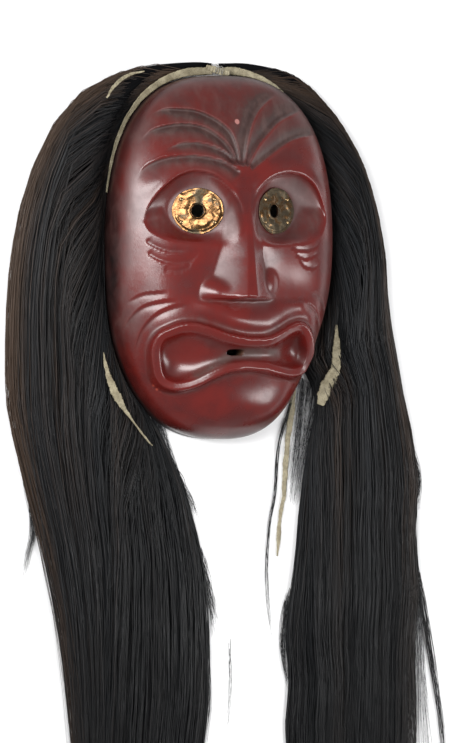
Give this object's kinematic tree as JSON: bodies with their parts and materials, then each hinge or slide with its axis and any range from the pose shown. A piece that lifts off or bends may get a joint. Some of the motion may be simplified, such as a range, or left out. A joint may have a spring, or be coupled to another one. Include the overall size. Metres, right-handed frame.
{
  "type": "carved wooden mask",
  "caption": "Carved and painted wooden mask with a twisted mouth, furrowed brow, hammered metal eye discs and long horsehair, lying on its hollow back",
  "frame": {"origin": "Centre of the bounding box on the plane that the mask's back rim and hair lie on", "axes": "+Z points out of the face, +Y from chin to brow, +X to the right of someone who looks at the face"},
  "size_m": [0.3412, 0.5922, 0.071],
  "materials": {
    "wood": "glossy dark red paint over carved wood, smoke-browned in the hollows",
    "brass": "hand-hammered sheet, unpolished and mottled",
    "hide": "dry pale rawhide",
    "horsehair": "dry black-brown tail hair in locks"
  },
  "bodies": {
    "root": {"face": "wood", "eye_disc_left": "brass", "eye_disc_right": "brass", "tack_left_1": "brass", "tack_left_2": "brass", "tack_left_3": "brass", "tack_left_4": "brass", "tack_right_1": "brass", "tack_right_2": "brass", "tack_right_3": "brass", "tack_right_4": "brass", "hide_strip_left": "hide", "hide_strip_right": "hide", "hide_crossing": "hide", "hide_thong": "hide", "hide_end_left": "hide", "hide_end_right": "hide", "hide_strip_long": "hide", "hair_left": "horsehair", "hair_right": "horsehair", "hair_wisp_outer_left": "horsehair", "hair_wisp_outer_right": "horsehair", "hair_wisp_centre": "horsehair"}
  },
  "joints": []
}
